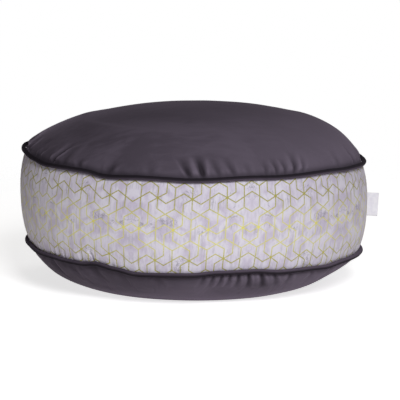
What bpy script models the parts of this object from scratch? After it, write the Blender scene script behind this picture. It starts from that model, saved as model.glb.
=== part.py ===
"""A round floor pouf, filled and sewn: two velvet panels, a printed band between them,
a piped edge in each seam and a small folded tab in the band's closing seam.

Metres, +Z up. The axis of the pouf is the Z axis, and it rests on Z = 0. Its front is
towards -Y. Azimuths are in degrees from the front, positive towards +X.
"""

import math
from collections import namedtuple

import bmesh
import bpy
from mathutils import Matrix, Vector

# Overall form
UPPER_PIPING_ACROSS = 0.600
LOWER_PIPING_ACROSS = 0.591
BASE_DROP = 0.062
BAND_HEIGHT = 0.1555
CROWN_RISE = 0.094
BAND_BULGE = 0.0125
FLAT_ACROSS = 0.344

# How full each profile is near its seams
CROWN_POWER = 0.58
BASE_SPREAD = 1.3
BASE_POWER = 0.54
BAND_POWER = 2.6

# Sewn details
PIPING_THICK = 0.008
PIPING_CLEARANCE = 0.0005
GAP = 0.0003
SEAM_FADE = 12

# Folded tab and the slot that its ends are sewn into
TAB_AZIMUTH = 90.0
TAB_MIDDLE_Z = 0.1355
TAB_HEIGHT = 0.0405
TAB_OUT = 0.0190
TAB_TUCKED = 0.0022
TAB_LAYER = 0.0007
TAB_OPEN = 0.0006
TAB_SLANT = 3.5
TAB_FOLD_STEPS = 6
SLOT_DEPTH = 0.0028

# Fineness of the solids
COLUMNS = 108
CROWDING = 0.5
CROWDED_AZIMUTH = 10.0
CROWN_STEPS = 11
BAND_STEPS = 10
BASE_STEPS = 7
PIPING_FINENESS = 2
MERGE = 0.00001

UPPER_RING = (UPPER_PIPING_ACROSS - PIPING_THICK) / 2
LOWER_RING = (LOWER_PIPING_ACROSS - PIPING_THICK) / 2
UPPER_RIM = UPPER_RING - PIPING_THICK / 2 - PIPING_CLEARANCE
LOWER_RIM = LOWER_RING - PIPING_THICK / 2 - PIPING_CLEARANCE
LOWER_SEAM_Z = BASE_DROP
UPPER_SEAM_Z = LOWER_SEAM_Z + BAND_HEIGHT
FLAT_RADIUS = FLAT_ACROSS / 2

# How far the soft body carries each seam above its plane, in millimetres
Rise = namedtuple("Rise", "azimuth mm")
UPPER_SEAM_RISES = [
    Rise(-92, 19), Rise(-78, 17.5), Rise(-66, 12.5), Rise(-58, 8.5), Rise(-48, 9),
    Rise(-38, 8), Rise(-29, 1.5), Rise(-17, 3.2), Rise(0, 0), Rise(18, 2.5),
    Rise(30, 0.5), Rise(48, 1.5), Rise(63, -1.5), Rise(78, -4), Rise(92, -6),
    Rise(120, -3), Rise(150, 2), Rise(180, 4), Rise(-140, 8), Rise(-115, 14),
]
LOWER_SEAM_RISES = [
    Rise(-92, 13), Rise(-76, 13.5), Rise(-65, 8.5), Rise(-55, 8.5), Rise(-46, 6.5),
    Rise(-39, 6), Rise(-34, 9.5), Rise(-26, 3), Rise(-19, -3), Rise(-1, -2),
    Rise(8, 1.5), Rise(20, 2), Rise(30, -3), Rise(42, -3.5), Rise(50, -5.5),
    Rise(58, -3), Rise(78, -4), Rise(92, -6), Rise(120, -4), Rise(150, 0),
    Rise(180, 3), Rise(-150, 5), Rise(-120, 9),
]

# How much fuller than its plain profile the crown and the base stand, in millimetres
CROWN_SWELLS = [
    Rise(-90, 3), Rise(-40, 3), Rise(0, 0), Rise(45, 2.5), Rise(85, 6),
    Rise(125, 4), Rise(180, 1), Rise(-130, 2),
]
BASE_SWELLS = [
    Rise(-90, -6), Rise(-60, -2), Rise(-40, 0), Rise(-15, 3), Rise(5, 4),
    Rise(30, 8), Rise(48, 3), Rise(68, -5), Rise(95, -6), Rise(130, 1),
    Rise(180, 3), Rise(-130, 0),
]

# Gathers where the round panels are eased into the seams, sizes in metres
Gather = namedtuple("Gather", "azimuth half_width depth reach")
CROWN_GATHERS = [
    Gather(-78, 0.011, 0.0018, 0.060),
    Gather(-54, 0.012, 0.0050, 0.090),
    Gather(-40, 0.009, 0.0020, 0.050),
    Gather(-28, 0.009, 0.0022, 0.050),
    Gather(2, 0.008, 0.0042, 0.065),
    Gather(13, 0.008, 0.0018, 0.050),
    Gather(24, 0.007, 0.0024, 0.045),
    Gather(34, 0.008, 0.0042, 0.060),
    Gather(58, 0.011, 0.0018, 0.050),
    Gather(104, 0.014, 0.0026, 0.060),
    Gather(131, 0.017, 0.0032, 0.070),
    Gather(166, 0.020, 0.0036, 0.075),
    Gather(-163, 0.018, 0.0026, 0.060),
    Gather(-128, 0.018, 0.0034, 0.075),
    Gather(-101, 0.014, 0.0022, 0.055),
]
BASE_GATHERS = [
    Gather(-76, 0.012, 0.0022, 0.040),
    Gather(-33, 0.014, 0.0036, 0.050),
    Gather(-12, 0.010, 0.0016, 0.040),
    Gather(5, 0.008, 0.0032, 0.040),
    Gather(14, 0.007, 0.0030, 0.040),
    Gather(23, 0.008, 0.0032, 0.040),
    Gather(52, 0.012, 0.0022, 0.045),
    Gather(72, 0.013, 0.0024, 0.045),
    Gather(112, 0.016, 0.0028, 0.050),
    Gather(148, 0.019, 0.0032, 0.050),
    Gather(-172, 0.018, 0.0026, 0.050),
    Gather(-140, 0.018, 0.0032, 0.050),
    Gather(-108, 0.015, 0.0024, 0.045),
]

# Colours, linear
VELVET = (0.070, 0.055, 0.078)
VELVET_BASE = (0.064, 0.050, 0.070)
PIPING_VELVET = (0.050, 0.039, 0.055)
PRINTED_CLOTH = (0.590, 0.555, 0.550)
TAB_CLOTH = (0.760, 0.750, 0.800)


def start_clean():
    """Empties the scene and makes a collection for the parts and one for cutters."""
    for thing in list(bpy.data.objects):
        bpy.data.objects.remove(thing)
    collections = []
    for name in ("round_pouf", "cutters"):
        collection = bpy.data.collections.new(name)
        bpy.context.scene.collection.children.link(collection)
        collections.append(collection)
    return collections


def cloth(name, colour, roughness, sheen):
    """A Principled material in a cloth's own colour."""
    material = bpy.data.materials.new(name)
    material.use_nodes = True
    shader = material.node_tree.nodes["Principled BSDF"]
    shader.inputs["Base Color"].default_value = (*colour, 1)
    shader.inputs["Roughness"].default_value = roughness
    shader.inputs["Metallic"].default_value = 0
    shader.inputs["Sheen Weight"].default_value = sheen
    return material


def rise_at(rises, azimuth):
    """Height of a seam above its plane, eased from one row of its table to the next."""
    for before, after in zip(rises, rises[1:] + rises[:1]):
        span = (after.azimuth - before.azimuth) % 360
        into = (azimuth - before.azimuth) % 360
        if into < span:
            share = into / span
            eased = share * share * (3 - 2 * share)
            return (before.mm + (after.mm - before.mm) * eased) / 1000
    raise ValueError("the table of rises does not go round")


def gathered_depth(gathers, azimuth, from_seam, rim):
    """How deep the gathers draw a panel in, at a distance from its seam."""
    depth = 0.0
    for gather in gathers:
        along = from_seam / gather.reach
        if 0 < along < 1:
            turn = (azimuth - gather.azimuth + 180) % 360 - 180
            across = rim * math.radians(turn) / gather.half_width
            fullness = math.sin(math.pi * math.sqrt(along))
            depth += gather.depth * math.exp(-across * across) * fullness
    return depth


def crowded(azimuth):
    """Moves a column of points towards the side where the gathers are closest."""
    turn = math.radians(azimuth - CROWDED_AZIMUTH)
    return azimuth - math.degrees(CROWDING * math.sin(turn))


def crown_height(radius):
    return CROWN_RISE * (1 - min(radius / UPPER_RIM, 1) ** 2) ** CROWN_POWER


def base_depth(out):
    """Depth below the lower seam; out is 0 at the flat of the base and 1 at the rim."""
    return BASE_DROP * (1 - min(out, 1) ** BASE_SPREAD) ** BASE_POWER


def band_radius(share):
    """Radius of the band; share is 0 at the lower seam and 1 at the upper one."""
    plain = LOWER_RIM + (UPPER_RIM - LOWER_RIM) * share
    return plain + BAND_BULGE * (1 - abs(2 * share - 1) ** BAND_POWER)


def place(azimuth, radius, height):
    turn = math.radians(azimuth)
    return Vector((radius * math.sin(turn), -radius * math.cos(turn), height))


def turned_mesh(name, profile):
    """Turns a profile of (radius, height) points, top to bottom, round the Z axis."""
    outline = bpy.data.meshes.new(name + "_outline")
    points = [(radius, 0, height) for radius, height in profile]
    outline.from_pydata(points, [(i, i + 1) for i in range(len(points) - 1)], [])
    blank = bpy.data.objects.new(name + "_outline", outline)
    bpy.context.scene.collection.objects.link(blank)
    screw = blank.modifiers.new("Turn", "SCREW")
    screw.steps = COLUMNS
    screw.render_steps = COLUMNS
    screw.use_merge_vertices = True
    screw.merge_threshold = MERGE
    graph = bpy.context.evaluated_depsgraph_get()
    mesh = bpy.data.meshes.new_from_object(blank.evaluated_get(graph))
    mesh.name = name
    bpy.data.objects.remove(blank)
    bpy.data.meshes.remove(outline)
    return mesh


def settled(mesh, settle):
    """Moves every point off the axis to where settle puts its radius and height."""
    for point in mesh.vertices:
        radius = math.hypot(point.co.x, point.co.y)
        if radius > GAP:
            azimuth = crowded(math.degrees(math.atan2(point.co.x, -point.co.y)))
            point.co = place(azimuth, *settle(azimuth, radius, point.co.z))
    return mesh


def finished(name, mesh, material, collection):
    """Welds and shades a mesh and places it as a part."""
    body = bmesh.new()
    body.from_mesh(mesh)
    bmesh.ops.remove_doubles(body, verts=body.verts, dist=MERGE)
    bmesh.ops.recalc_face_normals(body, faces=body.faces)
    body.to_mesh(mesh)
    body.free()
    mesh.shade_smooth()
    mesh.set_sharp_from_angle(angle=math.radians(60))
    mesh.materials.append(material)
    part = bpy.data.objects.new(name, mesh)
    collection.objects.link(part)
    return part


def top_panel(material, collection):
    """The velvet crown with its filling, down to the upper seam."""
    seam = UPPER_SEAM_Z + GAP / 2
    radii = [UPPER_RIM * math.sin(math.pi / 2 * step / CROWN_STEPS) for step in range(CROWN_STEPS)]
    profile = [(radius, seam + crown_height(radius)) for radius in radii]
    profile += [(UPPER_RIM, seam), (0, seam)]

    def settle(azimuth, radius, height):
        out = radius / UPPER_RIM
        lift = rise_at(UPPER_SEAM_RISES, azimuth) * out ** SEAM_FADE
        lift += rise_at(CROWN_SWELLS, azimuth) * math.sin(math.pi * out * out)
        from_seam = math.hypot(UPPER_RIM - radius, height - seam)
        inward = gathered_depth(CROWN_GATHERS, azimuth, from_seam, UPPER_RIM) * math.sqrt(0.5)
        return radius - inward, height + lift - inward

    mesh = settled(turned_mesh("top_panel", profile), settle)
    return finished("top_panel", mesh, material, collection)


def bottom_panel(material, collection):
    """The velvet underside with its filling, from the lower seam to the floor."""
    seam = LOWER_SEAM_Z - GAP / 2
    profile = [(0, seam), (LOWER_RIM, seam)]
    for step in range(BASE_STEPS - 1, -1, -1):
        out = math.sin(math.pi / 2 * step / BASE_STEPS)
        depth = min(base_depth(out), LOWER_SEAM_Z)
        profile.append((FLAT_RADIUS + (LOWER_RIM - FLAT_RADIUS) * out, LOWER_SEAM_Z - depth))
    profile.append((0, 0))

    def settle(azimuth, radius, height):
        if height == 0:
            return radius, height
        lift = rise_at(LOWER_SEAM_RISES, azimuth) * (height / seam) ** 2
        if height < seam:
            from_seam = math.hypot(LOWER_RIM - radius, seam - height)
            inward = gathered_depth(BASE_GATHERS, azimuth, from_seam, LOWER_RIM) * math.sqrt(0.5)
            swell = rise_at(BASE_SWELLS, azimuth) * math.sin(math.pi * math.sqrt(height / seam))
            radius += swell - inward
            lift += min(inward, height)
        return radius, height + lift

    mesh = settled(turned_mesh("bottom_panel", profile), settle)
    return finished("bottom_panel", mesh, material, collection)


def side_band(material, collection, cutter):
    """The printed band round its filling, with the slot that holds the tab."""
    foot = LOWER_SEAM_Z + GAP / 2
    height_between = BAND_HEIGHT - GAP
    shares = [(1 + math.cos(math.pi * step / BAND_STEPS)) / 2 for step in range(BAND_STEPS + 1)]
    profile = [(0, foot + height_between)]
    profile += [(band_radius(share), foot + height_between * share) for share in shares]
    profile += [(0, foot)]

    def settle(azimuth, radius, height):
        share = (height - foot) / height_between
        lift = share * rise_at(UPPER_SEAM_RISES, azimuth)
        lift += (1 - share) * rise_at(LOWER_SEAM_RISES, azimuth)
        return radius, height + lift

    mesh = settled(turned_mesh("side_band", profile), settle)
    band = finished("side_band", mesh, material, collection)
    slot = band.modifiers.new("Closing seam slot", "BOOLEAN")
    slot.operation = "DIFFERENCE"
    slot.object = cutter
    return band


def piping(name, ring, seam_z, rises, material, collection):
    """A covered cord sewn into a seam all the way round."""
    curve = bpy.data.curves.new(name, "CURVE")
    curve.dimensions = "3D"
    curve.bevel_depth = PIPING_THICK / 2
    curve.bevel_resolution = PIPING_FINENESS
    curve.use_fill_caps = True
    path = curve.splines.new("POLY")
    path.points.add(COLUMNS - 1)
    path.use_cyclic_u = True
    for column, point in enumerate(path.points):
        azimuth = crowded(360 * column / COLUMNS)
        point.co = (*place(azimuth, ring, seam_z + rise_at(rises, azimuth)), 1)
    curve.materials.append(material)
    cord = bpy.data.objects.new(name, curve)
    collection.objects.link(cord)
    return cord


def tab_frame():
    """Where the tab leaves the band: X outwards, Y across the tab, Z up along it."""
    seam_rise = rise_at(UPPER_SEAM_RISES, TAB_AZIMUTH)
    share = (TAB_MIDDLE_Z - seam_rise - LOWER_SEAM_Z) / BAND_HEIGHT
    surface = place(TAB_AZIMUTH, band_radius(share), TAB_MIDDLE_Z)
    turn = Matrix.Rotation(math.radians(TAB_AZIMUTH - 90), 4, "Z")
    slant = Matrix.Rotation(math.radians(TAB_SLANT), 4, "Y")
    return Matrix.Translation(surface) @ turn @ slant


def seam_cutter(collection):
    """An upright block that opens the slot for the two ends of the tab."""
    width = 2 * TAB_LAYER + TAB_OPEN + 2 * GAP
    reach = SLOT_DEPTH + TAB_OUT
    size = Matrix.Diagonal((reach, width, TAB_HEIGHT + 2 * GAP, 1))
    shift = Matrix.Translation((reach / 2 - SLOT_DEPTH, 0, 0))
    block = bmesh.new()
    bmesh.ops.create_cube(block, size=1, matrix=tab_frame() @ shift @ size)
    mesh = bpy.data.meshes.new("closing_seam_cutter")
    block.to_mesh(mesh)
    block.free()
    cutter = bpy.data.objects.new("closing_seam_cutter", mesh)
    collection.objects.link(cutter)
    cutter.hide_render = True
    cutter.display_type = "WIRE"
    return cutter


def label_tab(material, collection):
    """A ribbon folded at its outer edge, with both ends in the band's closing seam."""
    bend = (TAB_OPEN + TAB_LAYER) / 2
    bend_start = TAB_OUT - TAB_LAYER / 2 - bend
    foot = -TAB_HEIGHT / 2
    fold = [math.pi * (step / TAB_FOLD_STEPS - 0.5) for step in range(TAB_FOLD_STEPS + 1)]
    route = [(-TAB_TUCKED, -bend)]
    route += [(bend_start + bend * math.cos(turn), bend * math.sin(turn)) for turn in fold]
    route += [(-TAB_TUCKED, bend)]
    ribbon = bmesh.new()
    ends = [ribbon.verts.new((out, side, foot)) for out, side in route]
    edges = [ribbon.edges.new(pair) for pair in zip(ends, ends[1:])]
    raised = bmesh.ops.extrude_edge_only(ribbon, edges=edges)["geom"]
    upper = [item for item in raised if isinstance(item, bmesh.types.BMVert)]
    bmesh.ops.translate(ribbon, verts=upper, vec=(0, 0, TAB_HEIGHT))
    bmesh.ops.recalc_face_normals(ribbon, faces=ribbon.faces)
    mesh = bpy.data.meshes.new("label_tab")
    ribbon.to_mesh(mesh)
    ribbon.free()
    mesh.materials.append(material)
    tab = bpy.data.objects.new("label_tab", mesh)
    tab.matrix_world = tab_frame()
    collection.objects.link(tab)
    thickness = tab.modifiers.new("Ribbon thickness", "SOLIDIFY")
    thickness.thickness = TAB_LAYER
    thickness.offset = 0
    return tab


def main():
    parts, cutters = start_clean()
    piping_cloth = cloth("piping_velvet", PIPING_VELVET, 0.9, 0.5)
    top_panel(cloth("top_velvet", VELVET, 0.9, 0.6), parts)
    side_band(cloth("printed_cloth", PRINTED_CLOTH, 0.8, 0.2), parts, seam_cutter(cutters))
    bottom_panel(cloth("bottom_velvet", VELVET_BASE, 0.9, 0.6), parts)
    piping("top_piping", UPPER_RING, UPPER_SEAM_Z, UPPER_SEAM_RISES, piping_cloth, parts)
    piping("bottom_piping", LOWER_RING, LOWER_SEAM_Z, LOWER_SEAM_RISES, piping_cloth.copy(), parts)
    label_tab(cloth("tab_cloth", TAB_CLOTH, 0.6, 0.1), parts)


main()
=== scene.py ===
import math
from collections import namedtuple

import bmesh
import bpy
import numpy as np
from mathutils import Matrix, Vector


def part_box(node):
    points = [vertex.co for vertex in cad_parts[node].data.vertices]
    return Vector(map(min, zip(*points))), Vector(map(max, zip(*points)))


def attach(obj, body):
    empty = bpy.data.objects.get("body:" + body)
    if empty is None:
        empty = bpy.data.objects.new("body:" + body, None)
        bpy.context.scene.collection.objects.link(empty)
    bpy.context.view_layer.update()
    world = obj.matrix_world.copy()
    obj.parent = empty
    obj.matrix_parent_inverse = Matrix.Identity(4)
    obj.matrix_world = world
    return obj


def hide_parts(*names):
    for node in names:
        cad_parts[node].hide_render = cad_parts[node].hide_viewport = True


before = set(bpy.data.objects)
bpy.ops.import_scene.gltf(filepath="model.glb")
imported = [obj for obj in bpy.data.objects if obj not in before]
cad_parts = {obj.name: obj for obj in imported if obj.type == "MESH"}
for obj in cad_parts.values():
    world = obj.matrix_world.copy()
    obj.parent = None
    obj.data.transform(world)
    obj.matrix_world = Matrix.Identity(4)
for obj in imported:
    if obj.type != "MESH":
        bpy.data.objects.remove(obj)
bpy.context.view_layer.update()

# Sizes in metres, turns in degrees from the front, positive towards the folded tab
PIPING_THICK = 0.008
PIPING_CLEARANCE = 0.0005
SKIN_GAP = 0.0003
BAND_BULGE = 0.0125
BAND_POWER = 2.6
CROWN_RISE = 0.094
CROWN_POWER = 0.58
BASE_SPREAD = 1.3
BASE_POWER = 0.54
FLAT_RADIUS = 0.172
SEAM_FADE = 12
PUCKER_DEPTH = 0.00028
PUCKER_REACH = 0.011
PIPING_PULL_DEPTH = 0.0012
PIPING_PULL_SPACING = 0.011

# The folded tab, and how much shorter and narrower it is than the solid it stands for
TAB_AZIMUTH = 90.0
TAB_LAYER = 0.0006
TAB_OPEN = 0.0006
TAB_SLANT = 3.5
TAB_SHORTER = 0.0014
TAB_NARROWER = 0.0012
TAB_ROOT_INSET = 0.0010
TAB_BOW = 0.0004

# The closing seam: degrees to each side of it that have their own columns, the half
# width of its groove, and the groove's depth alone and where the tab goes in
CLOSING_STRIP = 1.2
CLOSING_MARGIN = 1.3
CLOSING_HALF_WIDTH = 0.0017
CLOSING_DEPTH = 0.0012
CLOSING_DEPTH_AT_TAB = 0.0030

# Fineness of the skins and of the tab
COLUMNS = 1160
CROWDING = 0.40
CROWDED_AZIMUTH = 10.0
CLOSING_COLUMNS = 41
CROWN_ROWS = 60
BAND_ROWS = 46
BASE_ROWS = 46
TAB_COLUMNS = 14
TAB_BEND_COLUMNS = 11
TAB_ROWS = 22

# Swell of the crown, upwards, and of the base, outwards, between seam and middle
Rise = namedtuple("Rise", "azimuth mm")
CROWN_SWELLS = [
    Rise(-90, 3), Rise(-40, 3), Rise(0, 0), Rise(45, 2.5), Rise(85, 6),
    Rise(125, 4), Rise(180, 1), Rise(-130, 2),
]
BASE_SWELLS = [
    Rise(-90, -6), Rise(-60, -2), Rise(-40, 0), Rise(-15, 3), Rise(5, 4),
    Rise(30, 8), Rise(48, 3), Rise(68, -5), Rise(95, -6), Rise(130, 1),
    Rise(180, 3), Rise(-130, 0),
]

# Gathers that show from the front: where each meets its seam, how far it leans with
# the way in from the seam, half its width, its depth and its length, in millimetres
Gather = namedtuple("Gather", "azimuth lean half_width depth reach")
CROWN_GATHERS = [
    Gather(-78, 0.1, 7.0, 1.1, 50), Gather(-66, 0.3, 6.0, 1.0, 45),
    Gather(-55.5, 0.35, 5.5, 2.6, 60), Gather(-49, 0.1, 8.0, 0.9, 60),
    Gather(-41.5, 0.0, 5.5, 1.7, 26), Gather(-29.5, 0.35, 6.0, 1.7, 32),
    Gather(-14, -0.1, 6.5, 0.8, 38), Gather(-0.8, -0.40, 5.0, 2.4, 48),
    Gather(3.4, -0.20, 5.4, 3.2, 56), Gather(8.8, -0.28, 4.6, 1.2, 48),
    Gather(13.8, -0.30, 4.8, 1.4, 46), Gather(18.8, -0.15, 4.6, 0.7, 34),
    Gather(24.6, 0.05, 3.6, 1.1, 36), Gather(28.6, 0.0, 3.6, 1.6, 40),
    Gather(31.8, 0.05, 3.4, 1.5, 36), Gather(35.2, 0.30, 5.0, 2.2, 48),
    Gather(38.8, 0.35, 3.8, 1.2, 36), Gather(58, 0.1, 7.0, 0.6, 44),
    Gather(71, 0.0, 6.0, 1.0, 40), Gather(82, 0.0, 6.0, 1.0, 36),
]
BASE_GATHERS = [
    Gather(-76, 0.0, 6.0, 0.6, 30), Gather(-58, 0.2, 7.0, 0.4, 34),
    Gather(-46, 0.2, 7.0, 0.4, 30), Gather(-36, 0.3, 8.0, 0.7, 40),
    Gather(-25, 0.1, 7.0, 0.4, 34), Gather(-12, 0.0, 6.0, 0.5, 30),
    Gather(3.8, -0.25, 3.6, 0.8, 36), Gather(6.9, -0.2, 3.2, 1.1, 42),
    Gather(9.7, -0.15, 3.0, 1.3, 44), Gather(12.4, -0.1, 3.0, 1.2, 42),
    Gather(15.2, 0.0, 3.4, 1.4, 48), Gather(18.5, 0.15, 3.8, 1.7, 52),
    Gather(22.9, 0.3, 4.8, 1.7, 52), Gather(27.8, 0.35, 4.2, 1.2, 42),
    Gather(34.5, 0.0, 5.0, 1.2, 40), Gather(44, 0.2, 5.0, 0.8, 30),
    Gather(55, 0.2, 6.0, 1.2, 28), Gather(69, 0.1, 6.0, 1.3, 26),
    Gather(81, 0.0, 6.0, 1.2, 24),
]
BAND_GATHERS = [
    Gather(-28, 0.0, 4.0, 0.4, 26), Gather(-34.8, -0.35, 3.2, 1.3, 30),
    Gather(-37.5, -0.1, 5.0, -1.3, 22), Gather(-40.4, 0.0, 3.0, 1.0, 26),
    Gather(-44.6, 0.1, 3.0, 0.6, 28), Gather(-48.5, 0.1, 3.0, 0.7, 32),
    Gather(-54.5, 0.1, 3.6, 0.6, 28),
]

# Gathers on the side that is turned away
BACK_GATHERS_FROM = 92
BACK_GATHERS_TO = 276
BACK_GATHER_SPACING = 7.5
BACK_GATHER_SEED = 11

# How many times as deep as their rows say the gathers are, how far from the seam they
# reach that depth, and how far each panel dips in behind its piping
CROWN_PULL = 1.7
BAND_PULL = 1.9
BASE_PULL = 2.2
CROWN_FULL_AT = 0.013
BAND_FULL_AT = 0.006
BASE_FULL_AT = 0.007
CROWN_TUCK = 0.0028
BASE_TUCK = 0.0022

# Soft hollows in the band: where, how wide and how tall, and how deep, in metres
Hollow = namedtuple("Hollow", "azimuth height wide tall depth")
BAND_HOLLOWS = [
    Hollow(-31, 0.099, 0.045, 0.020, 0.0042), Hollow(42, 0.104, 0.090, 0.022, 0.0026),
]

# Soft patches of painted shade where their share is above nought and painted light below
# it: where, how far from the seam, how wide and how tall, in metres
Patch = namedtuple("Patch", "azimuth way wide tall share")
CROWN_PATCHES = [
    Patch(6, 0.034, 0.050, 0.020, 0.16), Patch(43, 0.012, 0.060, 0.014, -0.10),
    Patch(64, 0.024, 0.070, 0.025, -0.10), Patch(-54, 0.190, 0.200, 0.050, 0.20),
    Patch(-78, 0.012, 0.060, 0.016, -0.15),
]
BASE_PATCHES = [
    Patch(-7, 0.052, 0.060, 0.020, -0.11), Patch(24, 0.036, 0.040, 0.014, 0.42),
    Patch(-2, 0.011, 0.050, 0.009, 0.20),
]

# Pressed pile and painted shade: the groove's width and that of the margin beside it, and
# a gather deep enough to be fully dark
GROOVE_WIDTH = 0.0052
MARGIN_WIDTH = 0.024
DARK_FOLD = 0.0052

# The filling's pressure on the cloth, the most that it moves it, the crown's pressed
# strip, and the spare cloth eased into each seam
FILLING_PRESSURE = 5.0
FILLING_CAP = 0.006
FILLING_STEPS = 20
CROWN_PRESSED = 0.13
SEAM_EASE = 0.14
EASE_REACH = 0.035

# The print: a star lattice of this short edge, mirrored from one tile to the next
PRINT_EDGE = 0.01678
PRINT_SPACING = 2 * math.sqrt(3) * PRINT_EDGE
PRINT_STAR_FROM_MIRROR = 0.234 * PRINT_SPACING
PRINT_TILE = 3 * PRINT_SPACING + 2 * PRINT_STAR_FROM_MIRROR
PRINT_MIRROR_AZIMUTH = 18.1
PRINT_ROW_DEPTH = 0.0795
PRINT_SLANT = 0.0585
PRINT_LINE = 0.00185
PRINT_SMUDGE = (0.1438, 0.0665)
BAND_CLOTH_HEIGHT = 0.1541

# The photograph's camera
CAMERA_DISTANCE = 4.60
CAMERA_ELEVATION = 8.52
CAMERA_FOCUS_PIXELS = 2632.5
CAMERA_TARGET = (0.0105, 0.0, 0.1417)
FRAME_PIXELS = 400

# Studio
FLOOR_RADIUS = 1.7
FLOOR_GLOW = 0.70
FLOOR_BOUNCE = 0.27
SURROUND_LIGHT = (0.105, 0.097, 0.090, 1)
LAMPS_FACE = (0, 0, 0.15)
Lamp = namedtuple("Lamp", "name spot size power colour")
LAMPS = [
    Lamp("key", (0.70, -3.42, 2.1), 1.2, 98, (0.99, 0.99, 1.0)),
    Lamp("right_rim", (2.2, 2.3, 1.9), 1.4, 14, (0.97, 0.97, 1.0)),
]


def rise_at(rises, azimuths):
    """Metres of rise at each azimuth, eased from one row of a table to the next."""
    rows = sorted(rises, key=lambda row: row.azimuth)
    starts = np.array([row.azimuth for row in rows] + [rows[0].azimuth + 360])
    heights = np.array([row.mm for row in rows] + [rows[0].mm]) / 1000
    turned = (azimuths - starts[0]) % 360 + starts[0]
    before = np.clip(np.searchsorted(starts, turned, side="right") - 1, 0, len(rows) - 1)
    share = (turned - starts[before]) / (starts[before + 1] - starts[before])
    eased = share * share * (3 - 2 * share)
    return heights[before] + (heights[before + 1] - heights[before]) * eased


def ring_line(node, sides=8):
    """Radius of a piping's solid, and a smooth reading of its height at any azimuth."""
    points = np.array([vertex.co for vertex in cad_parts[node].data.vertices])
    points = np.unique(points.round(7), axis=0)
    azimuths = np.degrees(np.arctan2(points[:, 0], -points[:, 1]))
    sections = points[np.argsort(azimuths)].reshape(-1, sides, 3).mean(axis=1)
    radius = np.hypot(sections[:, 0], sections[:, 1]).mean()
    turns = np.degrees(np.arctan2(sections[:, 0], -sections[:, 1]))
    fine = np.arange(-180, 180, 0.5)
    heights = np.interp(fine, turns, sections[:, 2], period=360)
    for _ in range(6):
        heights = (np.roll(heights, 1) + 2 * heights + np.roll(heights, -1)) / 4
    return radius, lambda azimuth: np.interp(azimuth, fine, heights, period=360)


UPPER_RING, upper_seam = ring_line("top_piping")
LOWER_RING, lower_seam = ring_line("bottom_piping")
UPPER_RIM = UPPER_RING - PIPING_THICK / 2 - PIPING_CLEARANCE
LOWER_RIM = LOWER_RING - PIPING_THICK / 2 - PIPING_CLEARANCE
UPPER_SEAM_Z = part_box("top_panel")[1].z - CROWN_RISE - SKIN_GAP / 2
LOWER_SEAM_Z = 0.062


def place(azimuth, radius, height):
    """Points at these azimuths, radii and heights, as one array of coordinates."""
    turn = np.radians(azimuth)
    across, back = radius * np.sin(turn), -radius * np.cos(turn)
    return np.stack(np.broadcast_arrays(across, back, height), axis=-1)


def turn_from(azimuth, start):
    """Degrees from one azimuth to others, between -180 and 180."""
    return (azimuth - start + 180) % 360 - 180


def column_azimuths():
    """Azimuths once round from the closing seam, closer together towards the front."""
    even = TAB_AZIMUTH - 360 + 360 * np.arange(COLUMNS) / COLUMNS
    crowded = even - np.degrees(CROWDING) * np.sin(np.radians(even - CROWDED_AZIMUTH))
    at_seam = TAB_AZIMUTH + np.linspace(-CLOSING_STRIP, CLOSING_STRIP, CLOSING_COLUMNS)
    at_seam = np.where(at_seam >= TAB_AZIMUTH, at_seam - 360, at_seam)
    turned = (crowded - (TAB_AZIMUTH - 360)) % 360 + TAB_AZIMUTH - 360
    near_seam = np.abs(turn_from(turned, TAB_AZIMUTH)) < CLOSING_MARGIN
    return np.sort(np.concatenate([turned[~near_seam], at_seam]))


def along_profile(radius, height, from_end=True):
    """Length of way along a profile, from its last point or else from its first."""
    steps = np.hypot(np.diff(radius), np.diff(height))
    lengths = np.concatenate([[0], np.cumsum(steps)])
    return lengths[-1] - lengths if from_end else lengths


def profile_normal(radius, height):
    """Outward unit normals of a profile that runs from the top down its outer side."""
    across, down = np.gradient(radius), np.gradient(height)
    length = np.hypot(across, down)
    return -down / length, across / length


def gathered(gathers, azimuth, from_seam, rim, pull, full_at):
    """Depth in metres of the gathers, negative in their valleys, at every point.

    They reach their full depth this far from the seam.
    """
    depth = np.zeros(np.broadcast(azimuth, from_seam).shape)
    for gather in gathers:
        aside = rim * np.radians(turn_from(azimuth, gather.azimuth))
        offset = aside - gather.lean * from_seam
        along = from_seam / (gather.reach / 1000)
        across = offset / (gather.half_width / 1000 * (0.75 + 0.75 * along))
        valley = np.exp(-across**2) - 0.45 * np.exp(-((np.abs(across) - 1.8) / 0.85) ** 2)
        fade = (0.15 + 0.85 * np.clip(from_seam / full_at, 0, 1)) * np.clip(1 - along**1.5, 0, 1)
        depth -= gather.depth / 1000 * valley * fade
    return pull * depth


def tuck(from_seam, deepest):
    """The groove where a panel dips in behind the piping, and the roll of cloth above it."""
    groove = np.exp(-(((from_seam - 0.004) / 0.0042) ** 2))
    roll = np.exp(-(((from_seam - 0.0150) / 0.0065) ** 2))
    return deepest * (0.35 * roll - groove)


def soft_patches(patches, azimuth, from_seam, rim):
    """Share of painted shade that soft patches add, below nought where they add painted light."""
    share = np.zeros(np.broadcast(azimuth, from_seam).shape)
    for patch in patches:
        aside = rim * np.radians(turn_from(azimuth, patch.azimuth)) / patch.wide
        along = (from_seam - patch.way) / patch.tall
        share += patch.share * np.exp(-(aside**2) - along**2)
    return share


def crush_and_shade_share(folds, from_seam, in_groove, beside_it, patches):
    """Share of pressed pile and painted shade from the seam's groove, the gathers and the soft
    patches, with painted light below nought.
    """
    at_seam = in_groove * np.exp(-((from_seam / GROOVE_WIDTH) ** 2))
    at_seam = at_seam + beside_it * np.exp(-((from_seam / MARGIN_WIDTH) ** 2))
    in_folds = np.clip(-folds / DARK_FOLD, -0.5, 0.60) * np.clip(from_seam / 0.010, 0.3, 1)
    return np.clip(at_seam + in_folds + patches, -0.5, 1)


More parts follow.
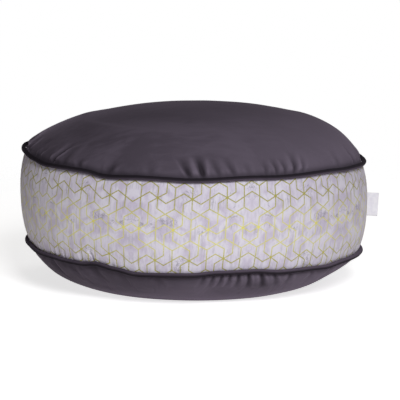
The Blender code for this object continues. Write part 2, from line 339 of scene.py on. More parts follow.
def back_gathers(seed):
    """Gathers for the side that is turned away, uneven but the same on every run."""
    chance = np.random.default_rng(seed)
    gathers = []
    azimuth = BACK_GATHERS_FROM
    while azimuth < BACK_GATHERS_TO:
        lean = chance.uniform(-0.35, 0.35)
        half_width = chance.uniform(4.5, 7.0)
        depth = chance.uniform(0.8, 2.4)
        reach = chance.uniform(24, 44)
        gathers.append(Gather(azimuth, lean, half_width, depth, reach))
        azimuth += BACK_GATHER_SPACING * chance.uniform(0.6, 1.5)
    return gathers


def slow_waves(azimuth, way, size, seed):
    """A soft unevenness of about this size in metres, with no break on its way round."""
    chance = np.random.default_rng(seed)
    wave = np.zeros(np.broadcast(azimuth, way).shape)
    for turns in (2, 3, 5, 7, 9, 12):
        phase, drift = chance.uniform(0, 2 * np.pi), chance.uniform(-18, 18)
        strength = chance.uniform(0.5, 1.0) / math.sqrt(turns)
        wave += strength * np.sin(turns * np.radians(azimuth) + drift * way + phase)
    return size * wave / 2


def skin(name, rows, top, foot):
    """A closed skin: rows of points from the top down, each going once round."""
    count, columns = rows.shape[:2]
    points = np.concatenate([[top], rows.reshape(-1, 3), [foot]])
    index = 1 + np.arange(count * columns).reshape(count, columns)
    beside = np.roll(index, -1, axis=1)
    last = len(points) - 1
    quads = np.stack([index[:-1], index[1:], beside[1:], beside[:-1]], axis=-1).reshape(-1, 4)
    faces = [(0, a, b) for a, b in zip(index[0].tolist(), beside[0].tolist())]
    faces += quads.tolist()
    faces += [(last, b, a) for a, b in zip(index[-1].tolist(), beside[-1].tolist())]
    mesh = bpy.data.meshes.new(name)
    mesh.from_pydata(points.tolist(), [], faces)
    mesh.shade_smooth()
    piece = bpy.data.objects.new(name, mesh)
    bpy.context.collection.objects.link(piece)
    return piece


def between(moved):
    """Doubles a grid of moves smoothly, round its columns and then down its rows."""
    before, here, after, beyond = (np.roll(moved, shift, axis=1) for shift in (1, 0, -1, -2))
    middle = (9 * (here + after) - before - beyond) / 16
    wide = np.stack([here, middle], axis=2).reshape(len(moved), -1, 3)
    ended = np.concatenate([wide[:1], wide, wide[-1:]])
    tall = np.empty((2 * len(wide) - 1, *wide.shape[1:]))
    tall[::2] = wide
    tall[1::2] = (9 * (ended[1:-2] + ended[2:-1]) - ended[:-3] - ended[3:]) / 16
    return tall


def pressed(rows, first, last, from_seam, sewn=None):
    """Rows of a skin once its filling has pressed it out between two held rows.

    The cloth is cut a little too long near its seams, so it puckers there. Columns that
    are sewn down stay where they are.
    """
    part = rows[first : last + 1 : 2, ::2]
    index = np.arange(part.shape[0] * part.shape[1]).reshape(part.shape[:2])
    beside = np.roll(index, -1, axis=1)
    quads = np.stack([index[:-1], index[1:], beside[1:], beside[:-1]], axis=-1).reshape(-1, 4)
    mesh = bpy.data.meshes.new("pressed_cloth")
    mesh.from_pydata(part.reshape(-1, 3).tolist(), [], quads.tolist())
    cover = bpy.data.objects.new("pressed_cloth", mesh)
    bpy.context.collection.objects.link(cover)
    held = cover.vertex_groups.new(name="held")
    held.add(index[[0, -1]].ravel().tolist(), 1.0, "REPLACE")
    if sewn is not None:
        held.add(index[:, sewn[::2]].ravel().tolist(), 1.0, "REPLACE")
    eased = cover.vertex_groups.new(name="eased")
    for row, way in zip(index, from_seam[first : last + 1 : 2]):
        eased.add(row.tolist(), math.exp(-((way / EASE_REACH) ** 2)), "REPLACE")

    cloth = cover.modifiers.new("Filling", "CLOTH").settings
    cloth.quality = 5
    cloth.mass = 0.3
    cloth.tension_stiffness = cloth.compression_stiffness = 20
    cloth.shear_stiffness = 7
    cloth.bending_stiffness = 0.02
    cloth.use_pressure = True
    cloth.uniform_pressure_force = FILLING_PRESSURE
    cloth.vertex_group_mass = held.name
    cloth.vertex_group_shrink = eased.name
    cloth.shrink_min = 0
    cloth.shrink_max = -SEAM_EASE
    cloth.effector_weights.gravity = 0
    for step in range(1, FILLING_STEPS + 1):
        bpy.context.scene.frame_set(step)
    settled = cover.evaluated_get(bpy.context.evaluated_depsgraph_get())
    spots = np.array([vertex.co for vertex in settled.data.vertices]).reshape(part.shape)
    bpy.data.objects.remove(cover)
    bpy.data.meshes.remove(mesh)
    bpy.context.scene.frame_set(1)
    moved = np.clip(spots - part, -FILLING_CAP, FILLING_CAP)
    rows = rows.copy()
    rows[first : last + 1] += between(moved)
    return rows


def store_crush_and_shade(piece, shares):
    """Stores the share of pressed pile and painted shade at each point, below nought painted light.
    """
    layer = piece.data.attributes.new("crushed", "FLOAT", "POINT")
    layer.data.foreach_set("value", shares.astype(np.float32))


def dressed(piece, material, node):
    """Gives a piece its material, hides the solid that it stands for and hangs the piece from the
    root body.
    """
    piece.data.materials.clear()
    piece.data.materials.append(material)
    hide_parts(node)
    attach(piece, "root")
    return piece


def add_node(tree, kind, inputs, settings):
    """A new node in a tree, with its inputs linked or set."""
    made = tree.nodes.new(kind)
    for setting, value in settings.items():
        setattr(made, setting, value)
    for key, value in dict(inputs).items():
        if isinstance(value, bpy.types.NodeSocket):
            tree.links.new(value, made.inputs[key])
        else:
            made.inputs[key].default_value = value
    return made


def toned(colour, times):
    """A colour this many times as bright."""
    return tuple(tone * times for tone in colour)


class Wiring:
    """Adds shader nodes to a material, each call returning the new node's output."""

    def __init__(self, name):
        self.material = bpy.data.materials.new(name)
        self.material.use_nodes = True
        self.tree = self.material.node_tree
        self.shader = self.tree.nodes["Principled BSDF"]

    def node(self, kind, inputs=(), output=0, **settings):
        return add_node(self.tree, kind, inputs, settings).outputs[output]

    def math(self, operation, *values, clamp=False):
        return self.node("ShaderNodeMath", enumerate(values), operation=operation, use_clamp=clamp)

    def vector(self, operation, *values, output=0):
        return self.node("ShaderNodeVectorMath", enumerate(values), output, operation=operation)

    def point(self, x, y):
        return self.node("ShaderNodeCombineXYZ", {0: x, 1: y})

    def parts(self, vector):
        split = self.node("ShaderNodeSeparateXYZ", {0: vector}).node
        return split.outputs[0], split.outputs[1], split.outputs[2]

    def noise(self, vector, scale, detail=3.0, roughness=0.5, distortion=0.0):
        values = {"Vector": vector, "Scale": scale, "Detail": detail}
        values |= {"Roughness": roughness, "Distortion": distortion}
        return self.node("ShaderNodeTexNoise", values)

    def range(self, value, low, high, to_low=0.0, to_high=1.0, smooth=True):
        kind = "SMOOTHSTEP" if smooth else "LINEAR"
        values = {0: value, 1: low, 2: high, 3: to_low, 4: to_high}
        return self.node("ShaderNodeMapRange", values, interpolation_type=kind)

    def mix(self, share, first, second):
        values = {0: share}
        for key, tone in {6: first, 7: second}.items():
            values[key] = (*tone, 1) if isinstance(tone, tuple) else tone
        return self.node("ShaderNodeMix", values, output=2, data_type="RGBA")

    def bump(self, height, strength, distance):
        values = {"Height": height, "Strength": strength, "Distance": distance}
        return self.node("ShaderNodeBump", values)

    def finish(self, **sockets):
        """Sets or links the shader's inputs, named with underscores for spaces."""
        for name, value in sockets.items():
            socket = self.shader.inputs[name.replace("_", " ")]
            if isinstance(value, bpy.types.NodeSocket):
                self.tree.links.new(value, socket)
            else:
                socket.default_value = value
        return self.material


def velvet(name, deep=(0.056, 0.046, 0.062), raised=(0.094, 0.078, 0.105), sheen=0.24):
    """Short pile: patches and strokes of tone, a fine grain and a sheen that lifts towards the
    edges.
    Painted light lies on the right side and towards the bottom, painted shade over the middle
    seen from above, and painted shade and light come from a share stored at each point.
    """
    w = Wiring(name)
    where = w.node("ShaderNodeTexCoord", output=3)
    patches = w.noise(where, 7.0, 3.0, 0.55, 0.6)
    strokes = w.noise(w.vector("MULTIPLY", where, (1.0, 2.6, 1.6)), 26.0, 4.0, 0.6, 0.8)
    pile = w.noise(where, 1400.0, 2.0, 0.7)
    soft_patches = w.math("ADD", w.math("MULTIPLY", patches, 0.65), w.math("MULTIPLY", strokes, 0.35))
    share = w.range(soft_patches, 0.39, 0.61)
    grain = w.math("MULTIPLY", w.math("SUBTRACT", pile, 0.5), 0.35)
    colour = w.mix(w.math("ADD", share, grain, clamp=True), deep, raised)
    x, y, z = w.parts(where)
    # Painted light: lighter towards the right, the side that the lamps light most
    painted_right_light = w.range(x, -0.28, 0.30, 0.0, 0.85, smooth=False)
    colour = w.mix(painted_right_light, colour, toned(raised, 1.7))
    # Painted shade: darker towards the middle seen from above, which is the crown's top
    off_crown = w.point(w.math("MULTIPLY", w.math("ADD", x, 0.04), 0.65), y)
    from_crown = w.vector("LENGTH", off_crown, output=1)
    colour = w.mix(w.range(from_crown, 0.21, 0.06, 0.0, 0.80), colour, deep)
    # Painted light from the floor: lighter towards the bottom
    colour = w.mix(w.range(z, 0.024, 0.0, 0.0, 0.9), colour, toned(raised, 1.9))
    # Painted light where the stored share is below nought, pressed pile and painted shade above it
    crushed = w.node("ShaderNodeAttribute", output=2, attribute_name="crushed")
    colour = w.mix(w.range(crushed, 0.0, -0.5, smooth=False), colour, toned(raised, 2.2))
    colour = w.mix(w.range(crushed, 0.0, 1.0, smooth=False), colour, toned(deep, 0.18))
    surface = w.math("ADD", w.math("MULTIPLY", pile, 0.25), strokes)
    return w.finish(
        Base_Color=colour,
        Roughness=w.range(soft_patches, 0.3, 0.7, 0.78, 0.92),
        Specular_IOR_Level=0.06,
        Sheen_Weight=sheen,
        Sheen_Roughness=0.30,
        Sheen_Tint=(0.80, 0.68, 0.88, 1),
        Normal=w.bump(surface, 0.25, 0.0012),
    )


def print_lines(w, across, depth):
    """Shares of line and of star centre in the print, from metres across a tile and down.

    Stars stand on a triangular lattice. Each cell round a star is a hexagon with six
    bent arms, so one sixth of a cell is drawn and turned round the star.
    """
    row_drop = 3 * PRINT_EDGE
    x = w.math("SUBTRACT", across, PRINT_STAR_FROM_MIRROR)
    y = w.math("SUBTRACT", PRINT_ROW_DEPTH, depth)
    half = (PRINT_SPACING / 2, row_drop, 1.0)
    least = (-PRINT_SPACING / 2, -row_drop, -1.0)
    here = w.point(x, y)
    half_on = w.point(w.math("SUBTRACT", x, half[0]), w.math("SUBTRACT", y, half[1]))
    even = w.vector("WRAP", here, half, least)
    odd = w.vector("WRAP", half_on, half, least)
    even_length = w.vector("LENGTH", even, output=1)
    odd_length = w.vector("LENGTH", odd, output=1)
    odd_nearer = w.math("LESS_THAN", odd_length, even_length)
    to_odd = w.vector("SUBTRACT", odd, even)
    shift = w.node("ShaderNodeVectorMath", {0: to_odd, "Scale": odd_nearer}, operation="SCALE")
    star = w.vector("ADD", even, shift)
    radius = w.math("MINIMUM", even_length, odd_length)
    star_x, star_y, _ = w.parts(star)
    sixth = math.pi / 3
    turn = w.math("WRAP", w.math("ARCTAN2", star_y, star_x), sixth, 0.0)
    folded_x = w.math("MULTIPLY", radius, w.math("COSINE", turn))
    folded_y = w.math("MULTIPLY", radius, w.math("SINE", turn))

    # Cell wall: how far inside the hexagon's two nearest sides
    cosine_30 = math.sqrt(0.75)
    side_x, side_y = w.math("MULTIPLY", folded_x, 0.5), w.math("MULTIPLY", folded_y, cosine_30)
    other_side = w.math("ADD", side_x, side_y)
    wall = w.math("SUBTRACT", PRINT_SPACING / 2, w.math("MAXIMUM", folded_x, other_side))

    # First half of the arm, out from the star at 30 degrees
    arm_turn = w.math("SUBTRACT", turn, math.pi / 6)
    arm_along = w.math("MULTIPLY", radius, w.math("COSINE", arm_turn))
    arm_across = w.math("MULTIPLY", radius, w.math("SINE", arm_turn))
    arm_past = w.math("MAXIMUM", w.math("SUBTRACT", arm_along, PRINT_EDGE), 0.0)
    arm = w.vector("LENGTH", w.point(arm_past, arm_across), output=1)

    # Second half, bent back by 60 degrees to the middle of the hexagon's side
    bend_x = w.math("SUBTRACT", folded_x, PRINT_EDGE * cosine_30)
    bend_y = w.math("SUBTRACT", folded_y, PRINT_EDGE * 0.5)
    along_x, along_y = w.math("MULTIPLY", bend_x, cosine_30), w.math("MULTIPLY", bend_y, 0.5)
    bend_along = w.math("MINIMUM", w.math("SUBTRACT", along_x, along_y), 0.0)
    across_x, across_y = w.math("MULTIPLY", bend_x, 0.5), w.math("MULTIPLY", bend_y, cosine_30)
    bend_across = w.math("ADD", across_x, across_y)
    bend = w.vector("LENGTH", w.point(bend_along, bend_across), output=1)

    nearest = w.math("MINIMUM", wall, w.math("MINIMUM", arm, bend))
    line = w.range(nearest, PRINT_LINE * 0.62, PRINT_LINE * 0.38)
    dot = w.range(radius, PRINT_LINE * 1.5, PRINT_LINE * 0.7)
    return line, dot


def printed_cloth():
    """Marbled lilac-white cloth with fine gold lines, mirrored from tile to tile."""
    w = Wiring("printed_cloth")
    cloth = w.node("ShaderNodeUVMap", uv_map="cloth")
    along, depth, _ = w.parts(cloth)
    across = w.math("PINGPONG", along, PRINT_TILE)
    line, dot = print_lines(w, across, depth)

    # Marble: upright streaks, soft clouds and a few thin dark veins
    ground = w.point(across, depth)
    streaks = w.noise(w.vector("MULTIPLY", ground, (1.0, 0.20, 1.0)), 190.0, 4.0, 0.65, 0.4)
    clouds = w.noise(w.vector("MULTIPLY", ground, (1.0, 0.7, 1.0)), 46.0, 5.0, 0.60, 0.6)
    smudges = w.noise(w.vector("ADD", ground, (3.1, 1.7, 0.0)), 58.0, 5.0, 0.6, 1.2)
    vein_line = w.math("ABSOLUTE", w.math("SUBTRACT", smudges, 0.5))
    vein_place = w.range(w.noise(w.vector("ADD", ground, (0.4, 5.2, 0.0)), 24.0, 2.0), 0.54, 0.66)
    vein = w.math("MULTIPLY", w.range(vein_line, 0.026, 0.0), vein_place)
    pale, lilac = (0.720, 0.692, 0.790), (0.582, 0.528, 0.664)
    grey, dark = (0.395, 0.368, 0.432), (0.200, 0.187, 0.228)
    marble = w.mix(w.range(clouds, 0.40, 0.66), pale, lilac)
    marble = w.mix(w.math("MULTIPLY", w.range(streaks, 0.48, 0.72), 0.55), marble, grey)
    marble = w.mix(w.math("MULTIPLY", vein, 0.75), marble, dark)
    from_smudge = w.vector("LENGTH", w.vector("SUBTRACT", ground, (*PRINT_SMUDGE, 0.0)), output=1)
    smudged = w.math("MULTIPLY", w.range(from_smudge, 0.0085, 0.0015), w.range(streaks, 0.30, 0.60))
    marble = w.mix(w.math("MULTIPLY", smudged, 0.75), marble, dark)

    # Gold: deep towards both edges of the band, pale across its middle
    middle = w.math("ABSOLUTE", w.math("SUBTRACT", depth, BAND_CLOTH_HEIGHT * 0.56))
    edge_share = w.range(middle, 0.014, 0.056)
    gold = w.mix(edge_share, (0.725, 0.695, 0.090), (0.362, 0.338, 0.036))
    strength = w.math("ADD", w.math("MULTIPLY", edge_share, 0.18), 0.78)
    wear = w.range(w.noise(ground, 420.0, 2.0), 0.30, 0.55, 0.55, 1.0)
    inked = w.math("MULTIPLY", w.math("MULTIPLY", line, strength), wear)
    colour = w.mix(inked, marble, gold)
    dot_gold = w.mix(edge_share, (0.800, 0.740, 0.120), (0.420, 0.380, 0.060))
    colour = w.mix(w.math("MULTIPLY", dot, 0.85), colour, dot_gold)

    # Weave: two crossing sets of threads
    warp = w.math("SINE", w.math("MULTIPLY", along, 2 * math.pi / 0.00055))
    weft = w.math("SINE", w.math("MULTIPLY", depth, 2 * math.pi / 0.00050))
    weave = w.math("MULTIPLY", w.math("ADD", warp, weft), 0.25)
    return w.finish(
        Base_Color=colour,
        Roughness=w.math("SUBTRACT", 0.74, w.math("MULTIPLY", inked, 0.28)),
        Specular_IOR_Level=0.35,
        Sheen_Weight=0.04,
        Sheen_Roughness=0.5,
        Normal=w.bump(weave, 0.18, 0.0003),
    )


def woven_tab():
    """White satin ribbon with a fine cross rib."""
    w = Wiring("woven_tab")
    where = w.node("ShaderNodeTexCoord", output=3)
    x, _, z = w.parts(where)
    rib = w.math("SINE", w.math("MULTIPLY", z, 2 * math.pi / 0.00042))
    thread = w.math("SINE", w.math("MULTIPLY", x, 2 * math.pi / 0.00060))
    weave = w.math("ADD", w.math("MULTIPLY", rib, 0.4), w.math("MULTIPLY", thread, 0.15))
    tone = w.range(w.noise(where, 160.0, 3.0), 0.3, 0.7)
    return w.finish(
        Base_Color=w.mix(tone, (0.800, 0.790, 0.860), (0.880, 0.875, 0.920)),
        Roughness=0.42,
        Sheen_Weight=0.2,
        Normal=w.bump(weave, 0.25, 0.0002),
    )


def top_velvet(azimuths, material):
    """Top panel: a crown eased into the upper seam with small gathers."""
    step = np.arange(1, CROWN_ROWS + 1) / CROWN_ROWS
    radius = UPPER_RIM * np.sin(np.pi / 2 * step)
    height = CROWN_RISE * (1 - (radius / UPPER_RIM) ** 2) ** CROWN_POWER
    from_seam = along_profile(radius, height)[:, None]
    out, up = profile_normal(radius, height)
    gathers = CROWN_GATHERS + back_gathers(BACK_GATHER_SEED)
    folds = gathered(gathers, azimuths, from_seam, UPPER_RIM, CROWN_PULL, CROWN_FULL_AT)
    share = (radius / UPPER_RIM)[:, None]
    waves = slow_waves(azimuths, from_seam, size=0.0011, seed=5)
    depth = folds + waves * np.clip(from_seam / 0.03, 0, 1) * share
    depth += tuck(from_seam, CROWN_TUCK)
    depth *= np.clip((1 - share**2) * 40, 0, 1) ** 0.3
    lift = (upper_seam(azimuths) - UPPER_SEAM_Z) * share**SEAM_FADE
    lift = lift + rise_at(CROWN_SWELLS, azimuths) * np.sin(np.pi * share**2)
    foot = UPPER_SEAM_Z + SKIN_GAP / 2
    rows = place(
        azimuths,
        radius[:, None] + depth * out[:, None],
        foot + height[:, None] + lift + depth * up[:, None],
    )
    first = CROWN_ROWS - 1 - 2 * int((from_seam[:, 0] < CROWN_PRESSED).sum() // 2)
    rows = pressed(rows, first, CROWN_ROWS - 1, from_seam[:, 0])
    piece = skin("top_velvet", rows, (0, 0, foot + CROWN_RISE), (0, 0, foot))
    patches = soft_patches(CROWN_PATCHES, azimuths, from_seam, UPPER_RIM)
    # Painted shade in the seam's groove, beside it, in the gathers' valleys and in soft patches,
    # painted light on the ridges
    pile = crush_and_shade_share(folds, from_seam, in_groove=0.60, beside_it=0.20, patches=patches)
    store_crush_and_shade(piece, np.pad(pile.ravel(), 1))
    dressed(piece, material, "top_panel")


def bottom_velvet(azimuths, material):
    """Bottom panel: eased into the lower seam, and flat where it stands."""
    step = np.arange(BASE_ROWS + 1) / BASE_ROWS
    out_share = np.sin(np.pi / 2 * step)[::-1]
    radius = FLAT_RADIUS + (LOWER_RIM - FLAT_RADIUS) * out_share
    fall = LOWER_SEAM_Z * (1 - out_share**BASE_SPREAD) ** BASE_POWER
    height = LOWER_SEAM_Z - SKIN_GAP / 2 - np.minimum(fall, LOWER_SEAM_Z - SKIN_GAP / 2)
    from_seam = along_profile(radius, height, from_end=False)[:, None]
    out, up = profile_normal(radius, height)
    gathers = BASE_GATHERS + back_gathers(BACK_GATHER_SEED + 1)
    folds = gathered(gathers, azimuths, from_seam, LOWER_RIM, BASE_PULL, BASE_FULL_AT)
    waves = slow_waves(azimuths, from_seam, size=0.0009, seed=8)
    depth = folds + waves * np.clip(from_seam / 0.03, 0, 1)
    depth += tuck(from_seam, BASE_TUCK)
    level = (height / height[0])[:, None]
    depth = depth * np.clip(level * 4, 0, 1) * np.clip((1 - level) * 60, 0, 1)
    lift = (lower_seam(azimuths) - LOWER_SEAM_Z) * level**2
    swell = rise_at(BASE_SWELLS, azimuths) * np.sin(np.pi * np.sqrt(level))
    rows = place(
        azimuths,
        radius[:, None] + swell + depth * out[:, None],
        np.maximum(height[:, None] + lift + depth * up[:, None], 0),
    )
    rows = pressed(rows, 0, BASE_ROWS, from_seam[:, 0])
    rows[:, :, 2] = np.maximum(rows[:, :, 2], 0)
    piece = skin("bottom_velvet", rows, (0, 0, height[0]), (0, 0, 0))
    patches = soft_patches(BASE_PATCHES, azimuths, from_seam, LOWER_RIM)
    # Painted shade in the seam's groove, beside it, in the gathers' valleys and in soft patches,
    # painted light on the ridges
    pile = crush_and_shade_share(folds, from_seam, in_groove=0.15, beside_it=0.16, patches=patches)
    store_crush_and_shade(piece, np.pad(pile.ravel(), 1))
    dressed(piece, material, "bottom_panel")


def band_skin(azimuths, material):
    """Printed band: fuller in its middle, drawn in at both seams and at the closing seam."""
    share = (1 + np.cos(np.pi * np.arange(BAND_ROWS + 1) / BAND_ROWS)) / 2
    plain = LOWER_RIM + (UPPER_RIM - LOWER_RIM) * share
    radius = plain + BAND_BULGE * (1 - np.abs(2 * share - 1) ** BAND_POWER)
    foot, top = LOWER_SEAM_Z + SKIN_GAP / 2, UPPER_SEAM_Z - SKIN_GAP / 2
    height = foot + (top - foot) * share
    level = share[:, None]
    from_top, from_foot = (1 - level) * (top - foot), level * (top - foot)
    depth = slow_waves(azimuths, height[:, None], size=0.0010, seed=3) * np.sin(np.pi * level)
    depth += seam_puckers(azimuths, from_top, seed=21) + seam_puckers(azimuths, from_foot, seed=22)
    depth += gathered(BAND_GATHERS, azimuths, from_foot, LOWER_RIM, BAND_PULL, BAND_FULL_AT)
    for hollow in BAND_HOLLOWS:
        aside = LOWER_RIM * np.radians(turn_from(azimuths, hollow.azimuth)) / hollow.wide
        above = (height[:, None] - hollow.height) / hollow.tall
        depth -= hollow.depth * np.exp(-(aside**2) - above**2)
    seam_turn = turn_from(azimuths, TAB_AZIMUTH)
    seam_way = UPPER_RIM * np.radians(seam_turn) / CLOSING_HALF_WIDTH
    low, high = (corner.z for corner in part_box("label_tab"))
    at_tab = (height > low - 0.0005) & (height < high + 0.0005)
    seam_depth = np.where(at_tab, CLOSING_DEPTH_AT_TAB, CLOSING_DEPTH)[:, None]
    from_seam = np.minimum(from_top, from_foot)
    depth -= seam_depth * np.exp(-(seam_way**4)) * np.clip(from_seam / 0.004, 0, 1)
    lift = level * (upper_seam(azimuths) - UPPER_SEAM_Z)
    lift = lift + (1 - level) * (lower_seam(azimuths) - LOWER_SEAM_Z)
    rows = place(azimuths, radius[:, None] + depth, height[:, None] + lift)
    sewn = np.abs(seam_turn) < CLOSING_MARGIN
    rows = pressed(rows, 0, BAND_ROWS, from_seam[:, 0], sewn)
    piece = skin("band_cloth", rows, (0, 0, top), (0, 0, foot))
    lay_cloth(piece, azimuths, share)
    dressed(piece, material, "side_band")


def seam_puckers(azimuths, from_seam, seed):
    """Shallow upright ripples where the band is sewn, fading away from the seam."""
    chance = np.random.default_rng(seed)
    ripple = np.zeros(len(azimuths))
    for turns in (61, 83, 107, 139):
        ripple += np.sin(turns * np.radians(azimuths) + chance.uniform(0, 2 * np.pi))
    near = np.clip(from_seam / 0.004, 0, 1) * np.exp(-from_seam / PUCKER_REACH)
    return PUCKER_DEPTH * ripple * near


def lay_cloth(piece, azimuths, share):
    """Measures the band's cloth in metres from the print's mirror line and from the top."""
    mesh = piece.data
    columns = len(azimuths)
    layer = mesh.uv_layers.new(name="cloth")
    around = UPPER_RIM + BAND_BULGE
    along = around * np.radians(np.append(azimuths, azimuths[0] + 360) - PRINT_MIRROR_AZIMUTH)
    depth = (1 - share) * BAND_CLOTH_HEIGHT
    for face in mesh.polygons:
        corners = list(face.loop_indices)
        spots = [(mesh.loops[corner].vertex_index - 1) for corner in corners]
        inside = [spot for spot in spots if 0 <= spot < len(share) * columns]
        wraps = {spot % columns for spot in inside} == {0, columns - 1}
        for corner, spot in zip(corners, spots):
            if 0 <= spot < len(share) * columns:
                row, column = divmod(spot, columns)
                column += columns if wraps and column == 0 else 0
                slid = PRINT_SLANT * (depth[row] - PRINT_ROW_DEPTH)
                layer.data[corner].uv = (along[column] + slid, depth[row])
            else:
                layer.data[corner].uv = (along[0], 0.0 if spot < 0 else BAND_CLOTH_HEIGHT)


def seam_path(name, ring, seam):
    """The middle line of a piping as a closed curve."""
    curve = bpy.data.curves.new(name, "CURVE")
    curve.dimensions = "3D"
    azimuths = np.arange(0, 360, 1.0)
    path = curve.splines.new("POLY")
    path.points.add(len(azimuths) - 1)
    path.use_cyclic_u = True
    spots = place(azimuths, ring, seam(azimuths))
    path.points.foreach_set("co", np.column_stack([spots, np.ones(len(spots))]).ravel())
    piece = bpy.data.objects.new(name, curve)
    bpy.context.collection.objects.link(piece)
    return piece


def piping_tree():
    """Covers a seam's path with a cord in cloth that is pulled slightly askew."""
    tree = bpy.data.node_groups.new("piped_edge", "GeometryNodeTree")
    face = tree.interface
    face.new_socket("Seam", in_out="INPUT", socket_type="NodeSocketGeometry")
    face.new_socket("Cord thickness", in_out="INPUT", socket_type="NodeSocketFloat")
    face.new_socket("Pull depth", in_out="INPUT", socket_type="NodeSocketFloat")
    face.new_socket("Pull spacing", in_out="INPUT", socket_type="NodeSocketFloat")
    face.new_socket("Seed", in_out="INPUT", socket_type="NodeSocketFloat")
    face.new_socket("Cover", in_out="INPUT", socket_type="NodeSocketMaterial")
    face.new_socket("Piping", in_out="OUTPUT", socket_type="NodeSocketGeometry")
    given = tree.nodes.new("NodeGroupInput").outputs
    result = tree.nodes.new("NodeGroupOutput")

    def add(kind, inputs, **settings):
        return add_node(tree, kind, inputs, settings).outputs[0]

    seam = given["Seam"]
    path = add("GeometryNodeResampleCurve", {"Curve": seam, "Length": 0.0018}, mode="LENGTH")
    radius = add("ShaderNodeMath", {0: given["Cord thickness"], 1: 0.5}, operation="MULTIPLY")
    section = add("GeometryNodeCurvePrimitiveCircle", {"Resolution": 16, "Radius": radius})
    tube = add("GeometryNodeCurveToMesh", {"Curve": path, "Profile Curve": section})
    spot = add("GeometryNodeInputPosition", {})
    scale = add("ShaderNodeMath", {0: 1.0, 1: given["Pull spacing"]}, operation="DIVIDE")
    pull = add(
        "ShaderNodeTexNoise",
        {"Vector": spot, "W": given["Seed"], "Scale": scale, "Detail": 2.0},
        noise_dimensions="4D",
    )
    centred = add("ShaderNodeMath", {0: pull, 1: 0.55}, operation="SUBTRACT")
    amount = add("ShaderNodeMath", {0: centred, 1: given["Pull depth"]}, operation="MULTIPLY")
    normal = add("GeometryNodeInputNormal", {})
    shift = add("ShaderNodeVectorMath", {0: normal, "Scale": amount}, operation="SCALE")
    pulled = add("GeometryNodeSetPosition", {"Geometry": tube, "Offset": shift})
    smooth = add("GeometryNodeSetShadeSmooth", {"Geometry": pulled})
    real = add("GeometryNodeRealizeInstances", {"Geometry": smooth})
    covered = add("GeometryNodeSetMaterial", {"Geometry": real, "Material": given["Cover"]})
    tree.links.new(covered, result.inputs["Piping"])
    return tree


def piping(name, node, ring, seam, tree, seed, material):
    """One piped edge as a plain mesh."""
    path = seam_path(name + "_path", ring, seam)
    build = path.modifiers.new("Piping", "NODES")
    build.node_group = tree
    values = {
        "Cord thickness": PIPING_THICK, "Pull depth": PIPING_PULL_DEPTH,
        "Pull spacing": PIPING_PULL_SPACING, "Seed": float(seed), "Cover": material,
    }
    for item in tree.interface.items_tree:
        if item.name in values:
            build[item.identifier] = values[item.name]
    graph = bpy.context.evaluated_depsgraph_get()
    mesh = bpy.data.meshes.new_from_object(path.evaluated_get(graph))
    mesh.name = name
    bpy.data.objects.remove(path)
    piece = bpy.data.objects.new(name, mesh)
    bpy.context.collection.objects.link(piece)
    return dressed(piece, material, node)


def against_panel(piece, ring, seam, side):
    """Share of pressed pile and painted shade on a piping, on the side (1 up, -1 down) that its
    panel presses.
    """
    spots = np.array([vertex.co for vertex in piece.data.vertices])
    azimuth = np.degrees(np.arctan2(spots[:, 0], -spots[:, 1]))
    out = np.hypot(spots[:, 0], spots[:, 1]) - ring
    turned = np.degrees(np.arctan2(side * (spots[:, 2] - seam(azimuth)), out))
    return 0.85 * np.clip((turned + 28) / 36, 0, 1)


def folded_tab(material):
    """A blank ribbon folded at its outer edge, both ends tucked into the closing seam."""
    low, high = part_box("label_tab")
    height = (high.z - low.z) - TAB_SHORTER
    reach = (high.x - low.x) - TAB_NARROWER
    bend = (TAB_OPEN + TAB_LAYER) / 2
    fold = np.radians(np.linspace(-90, 90, TAB_BEND_COLUMNS))
    straight = np.linspace(0, reach - TAB_LAYER / 2 - bend, TAB_COLUMNS)
    layer = np.full(TAB_COLUMNS, bend)
    out = np.concatenate([straight, straight[-1] + bend * np.cos(fold[1:-1]), straight[::-1]])
    side = np.concatenate([-layer, bend * np.sin(fold[1:-1]), layer])
    levels = np.linspace(-height / 2, height / 2, TAB_ROWS)
    ribbon = bmesh.new()
    grid = []
    for level in levels:
        bow = TAB_BOW * math.sin(level / height * 5 + 0.6)
        row = []
        for way, offset in zip(out, side):
            loose = min(way / reach, 1) ** 2
            row.append(ribbon.verts.new((way, offset * (1 + 0.5 * loose) + bow * loose, level)))
        grid.append(row)
    for lower, upper in zip(grid, grid[1:]):
        for a, b, c, d in zip(lower, lower[1:], upper[1:], upper):
            ribbon.faces.new((a, b, c, d))
    bmesh.ops.recalc_face_normals(ribbon, faces=ribbon.faces)
    mesh = bpy.data.meshes.new("folded_tab")
    ribbon.to_mesh(mesh)
    ribbon.free()
    mesh.shade_smooth()
    piece = bpy.data.objects.new("folded_tab", mesh)
    bpy.context.collection.objects.link(piece)
    middle = (Vector(low) + Vector(high)) / 2
    root = Vector((low.x + TAB_ROOT_INSET, middle.y, middle.z))
    slant = Matrix.Rotation(math.radians(TAB_SLANT), 4, "Y")
    mesh.transform(Matrix.Translation(root) @ slant)
    thickness = piece.modifiers.new("Ribbon thickness", "SOLIDIFY")
    thickness.thickness = TAB_LAYER
    thickness.offset = 0
    dressed(piece, material, "label_tab")


def studio():
    """Pale floor, soft light from the front right, and the photograph's camera."""
    scene = bpy.context.scene
    scene.view_settings.view_transform = "Standard"
    bpy.ops.mesh.primitive_circle_add(vertices=96, radius=FLOOR_RADIUS, fill_type="NGON")
    floor = bpy.context.object
    floor.name = "floor"
    floor.data.materials.append(floor_paper())
    scene.world = white_studio()
    for lamp in LAMPS:
        hang(lamp)

    turn = math.radians(CAMERA_ELEVATION)
    back = Vector((0, -math.cos(turn), math.sin(turn)))
    data = bpy.data.cameras.new("photograph")
    data.sensor_width = 36
    data.lens = data.sensor_width * CAMERA_FOCUS_PIXELS / FRAME_PIXELS
    camera = bpy.data.objects.new("photograph", data)
    camera.location = Vector(CAMERA_TARGET) + back * CAMERA_DISTANCE
    camera.rotation_euler = back.to_track_quat("Z", "Y").to_euler()
    scene.collection.objects.link(camera)
    scene.camera = camera


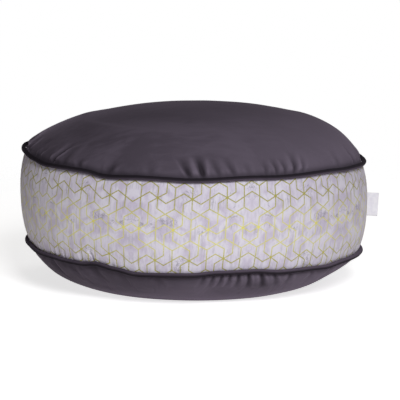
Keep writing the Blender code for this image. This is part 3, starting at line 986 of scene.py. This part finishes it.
def floor_paper():
    """White paper that fades out into the white of the studio away from the pouf."""
    w = Wiring("studio_floor")
    where = w.node("ShaderNodeTexCoord", output=3)
    away = w.vector("LENGTH", where, output=1)
    shown = w.range(away, FLOOR_RADIUS * 0.98, FLOOR_RADIUS * 0.45)
    seen = w.node("ShaderNodeLightPath")
    return w.finish(
        Base_Color=(0.90, 0.90, 0.90, 1),
        Roughness=0.95,
        Specular_IOR_Level=0.0,
        Emission_Color=w.mix(seen, (1.0, 0.955, 0.915), (1.0, 1.0, 1.0)),
        Emission_Strength=w.range(seen, 0.0, 1.0, FLOOR_BOUNCE, FLOOR_GLOW, smooth=False),
        Alpha=shown,
    )


def white_studio():
    """A white surround, dimmer as a light than as a background."""
    world = bpy.data.worlds.new("studio")
    world.use_nodes = True
    nodes, links = world.node_tree.nodes, world.node_tree.links
    surround = nodes["Background"]
    rays = nodes.new("ShaderNodeLightPath")
    seen = nodes.new("ShaderNodeMix")
    seen.data_type = "RGBA"
    seen.inputs[6].default_value = SURROUND_LIGHT
    seen.inputs[7].default_value = (1, 1, 1, 1)
    links.new(rays.outputs["Is Camera Ray"], seen.inputs[0])
    links.new(seen.outputs[2], surround.inputs["Color"])
    return world


def hang(lamp):
    """Adds a soft square lamp that faces the middle of the pouf."""
    data = bpy.data.lights.new(lamp.name, "AREA")
    data.size = lamp.size
    data.energy = lamp.power
    data.color = lamp.colour
    light = bpy.data.objects.new(lamp.name, data)
    light.location = lamp.spot
    back = Vector(lamp.spot) - Vector(LAMPS_FACE)
    light.rotation_euler = back.to_track_quat("Z", "Y").to_euler()
    bpy.context.scene.collection.objects.link(light)


def main():
    studio()
    azimuths = column_azimuths()
    top_velvet(azimuths, velvet("top_velvet"))
    band_skin(azimuths, printed_cloth())
    bottom_velvet(azimuths, velvet("bottom_velvet"))
    # Painted shade: the piping is the panels' velvet in darker tones, standing for the shade beside
    # the seams
    deep, raised = (0.044, 0.035, 0.049), (0.072, 0.058, 0.080)
    cover = velvet("piping_velvet", deep, raised, sheen=0.04)
    tree = piping_tree()
    upper = piping("upper_piping", "top_piping", UPPER_RING, upper_seam, tree, 1, cover)
    lower = piping("lower_piping", "bottom_piping", LOWER_RING, lower_seam, tree, 2, cover)
    # Painted shade on each piping where its panel presses against it, with pressed pile there
    store_crush_and_shade(upper, against_panel(upper, UPPER_RING, upper_seam, 1))
    store_crush_and_shade(lower, against_panel(lower, LOWER_RING, lower_seam, -1))
    folded_tab(woven_tab())


main()
